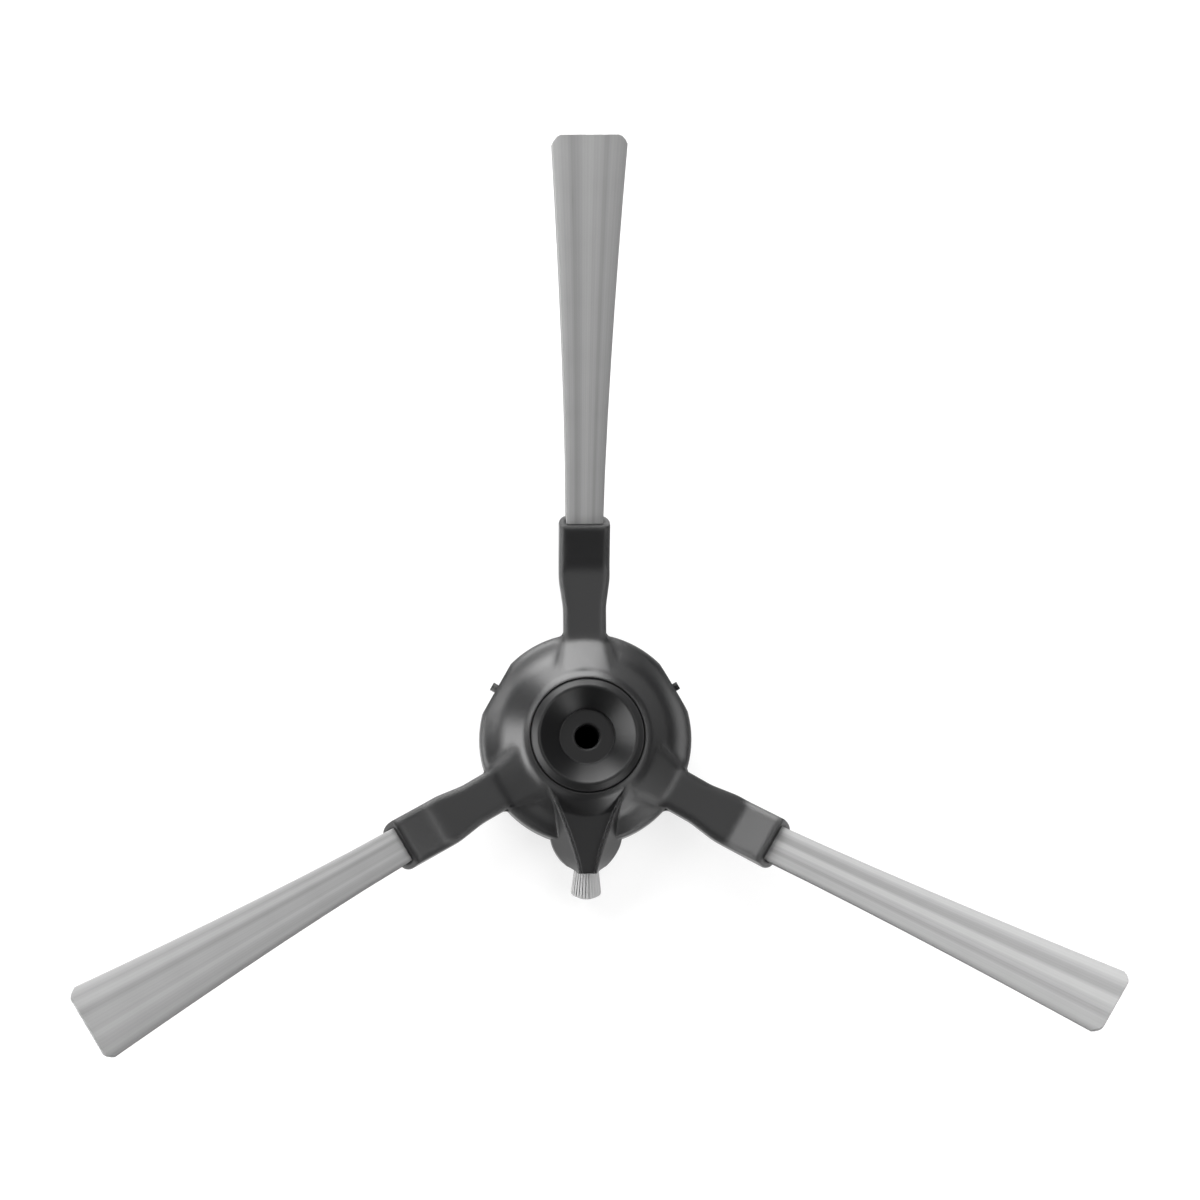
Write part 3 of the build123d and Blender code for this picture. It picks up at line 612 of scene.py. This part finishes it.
# Soft boxes: name, direction round the brush and height in degrees, size across and up in metres, and radiance
LAMPS = (
    ("top_soft_box", 99.5, 20.0, 0.54, 0.44, 6.6),
    ("left_soft_box", 190.0, 11.0, 0.62, 0.22, 6.5),
    ("corner_soft_box", 150.0, 44.0, 0.22, 0.20, 5.4),
    ("low_fill", -57.0, 17.0, 0.24, 0.18, 4.5),
    ("high_fill", -6.0, 50.0, 0.70, 0.24, 2.6),
    ("front_fill", 235.0, 38.0, 0.30, 0.30, 0.7),
)
LAMP_DISTANCE = 0.6
OVERHEAD_WAY = (0.10, 0.26, 0.96)  # to the middle of the overhead light, a little past the top arm
OVERHEAD_FOCUS = 14.0
FLOOR_HALF = 1.5  # metres
FRAME_HALF = 600  # image points
CAMERA_TURNS = (("Z", 0.58), ("X", -5.97), ("Y", 3.30))  # degrees, the last one first
CAMERA_ASIDE = (1.99, 19.81)  # millimetres across and up, from the hub to the middle of the frame


class SetStage(bpy.types.Operator):
    """Set the floor, the lamps and the camera"""
    bl_idname = "side_brush.set_stage"
    bl_label = "Set the stage"

    def execute(self, context):
        scene = context.scene
        stage = scene.side_brush_stage
        scene.view_settings.view_transform = "Standard"

        # Floor: matt paper that keeps the shadow, lifted to white except under the drive socket, where it is painted
        # black as a painted shadow
        material, tree = new_material("matt_white_paper")
        path = add_node(tree, "ShaderNodeLightPath").outputs
        seen = add_node(
            tree, "ShaderNodeMath", {0: path["Is Camera Ray"], 1: path["Is Glossy Ray"]}, operation="MAXIMUM")
        seen = add_node(
            tree, "ShaderNodeMath", {0: seen.outputs[0], 1: path["Is Transmission Ray"]}, operation="MAXIMUM")
        place = add_node(tree, "ShaderNodeTexCoord").outputs["Object"]
        off_axis = add_node(tree, "ShaderNodeVectorMath", {0: place}, operation="LENGTH").outputs["Value"]
        beyond_painted_shadow = add_node(
            tree, "ShaderNodeMath", {0: off_axis, 1: BOSS_RADIUS * MM}, operation="GREATER_THAN").outputs[0]
        lift = add_node(tree, "ShaderNodeMath", {0: seen.outputs[0], 1: stage.lift}, operation="MULTIPLY").outputs[0]
        lift = add_node(tree, "ShaderNodeMath", {0: lift, 1: beyond_painted_shadow}, operation="MULTIPLY")
        # Painted shadow: the paper is black and unlifted under the drive socket
        paper_with_painted_shadow = add_node(
            tree, "ShaderNodeMix", {"Factor": beyond_painted_shadow, "A": (0.0, 0.0, 0.0, 1.0), "B": stage.floor},
            data_type="RGBA").outputs["Result"]
        paper = add_node(
            tree, "ShaderNodeBsdfPrincipled",
            {"Base Color": paper_with_painted_shadow, "Roughness": 0.9, "Specular IOR Level": 0.0,
             "Emission Color": (1.0, 1.0, 1.0, 1.0), "Emission Strength": lift.outputs[0]})
        add_node(tree, "ShaderNodeOutputMaterial", {"Surface": paper.outputs["BSDF"]})
        mesh = bpy.data.meshes.new("floor")
        corners = [(x * FLOOR_HALF, y * FLOOR_HALF, 0.0) for x, y in ((-1, -1), (1, -1), (1, 1), (-1, 1))]
        mesh.from_pydata(corners, [], [(0, 1, 2, 3)])
        mesh.materials.append(material)
        floor = bpy.data.objects.new("floor", mesh)
        scene.collection.objects.link(floor)

        # Even light from all round, and more of it from overhead
        world = bpy.data.worlds.new("studio")
        scene.world = world
        world.use_nodes = True
        sky = world.node_tree
        sky.nodes.clear()
        way = add_node(sky, "ShaderNodeTexCoord").outputs["Generated"]
        nearness = add_node(
            sky, "ShaderNodeVectorMath", {0: way, 1: OVERHEAD_WAY}, operation="DOT_PRODUCT").outputs["Value"]
        nearness = add_node(sky, "ShaderNodeMath", {0: nearness, 1: 0.0}, operation="MAXIMUM").outputs[0]
        glow = add_node(sky, "ShaderNodeMath", {0: nearness, 1: OVERHEAD_FOCUS}, operation="POWER").outputs[0]
        strength = add_node(
            sky, "ShaderNodeMath", {0: glow, 1: stage.overhead, 2: stage.ambient}, operation="MULTIPLY_ADD")
        light = add_node(
            sky, "ShaderNodeBackground", {"Color": (1.0, 1.0, 1.0, 1.0), "Strength": strength.outputs[0]})
        add_node(sky, "ShaderNodeOutputWorld", {"Surface": light.outputs["Background"]})

        # Soft boxes that face the hub
        middle = Vector((0.0, 0.0, HUB_MIDDLE * MM))
        for name, around, height, across, up, radiance in LAMPS:
            lamp = bpy.data.lights.new(name, "AREA")
            lamp.shape = "RECTANGLE"
            lamp.size = across
            lamp.size_y = up
            lamp.energy = radiance * 4 * across * up
            rise = radians(height)
            turn = radians(around)
            direction = Vector((cos(rise) * cos(turn), cos(rise) * sin(turn), sin(rise)))
            box = bpy.data.objects.new(name, lamp)
            box.location = middle + direction * LAMP_DISTANCE
            box.rotation_euler = direction.to_track_quat("Z", "Y").to_euler()
            scene.collection.objects.link(box)

        # Camera: a long lens nearly above the hub, tipped a little towards the nose and the left arm
        view = Matrix.Identity(3)
        for axis, turn in CAMERA_TURNS:
            view = view @ Matrix.Rotation(radians(turn), 3, axis)
        lens = bpy.data.cameras.new("camera")
        lens.angle = 2 * atan(FRAME_HALF / (stage.view_scale * stage.view_distance / MM))
        camera = bpy.data.objects.new("camera", lens)
        across, up = CAMERA_ASIDE
        aside = Vector((across * MM, up * MM, stage.view_distance))
        camera.matrix_world = Matrix.Translation(middle + view.transposed() @ aside) @ view.transposed().to_4x4()
        scene.collection.objects.link(camera)
        scene.camera = camera
        return {"FINISHED"}


class SideBrushPanel(bpy.types.Panel):
    """Sizes, colours and steps of the side brush"""
    bl_idname = "VIEW3D_PT_side_brush"
    bl_label = "Side brush"
    bl_space_type = "VIEW_3D"
    bl_region_type = "UI"
    bl_category = "Side brush"

    def draw(self, context):
        for name in ("side_brush_hub", "side_brush_bristles", "side_brush_stage"):
            group = getattr(context.scene, name)
            box = self.layout.box()
            for prop in group.bl_rna.properties:
                if prop.identifier not in ("name", "rna_type"):
                    box.prop(group, prop.identifier)
        for step in STEPS:
            self.layout.operator(step.bl_idname)


STEPS = (FinishHub, GrowLongTufts, GrowShortTuft, SetStage)
CLASSES = (HubFinish, BristleSettings, StageSettings, *STEPS, SideBrushPanel)


def register():
    for kind in CLASSES:
        bpy.utils.register_class(kind)
    bpy.types.Scene.side_brush_hub = PointerProperty(type=HubFinish)
    bpy.types.Scene.side_brush_bristles = PointerProperty(type=BristleSettings)
    bpy.types.Scene.side_brush_stage = PointerProperty(type=StageSettings)


def unregister():
    del bpy.types.Scene.side_brush_hub
    del bpy.types.Scene.side_brush_bristles
    del bpy.types.Scene.side_brush_stage
    for kind in reversed(CLASSES):
        bpy.utils.unregister_class(kind)


def main():
    register()
    bpy.ops.side_brush.finish_hub()
    bpy.ops.side_brush.grow_long_tufts()
    bpy.ops.side_brush.grow_short_tuft()
    bpy.ops.side_brush.set_stage()


if __name__ == "__main__":
    main()
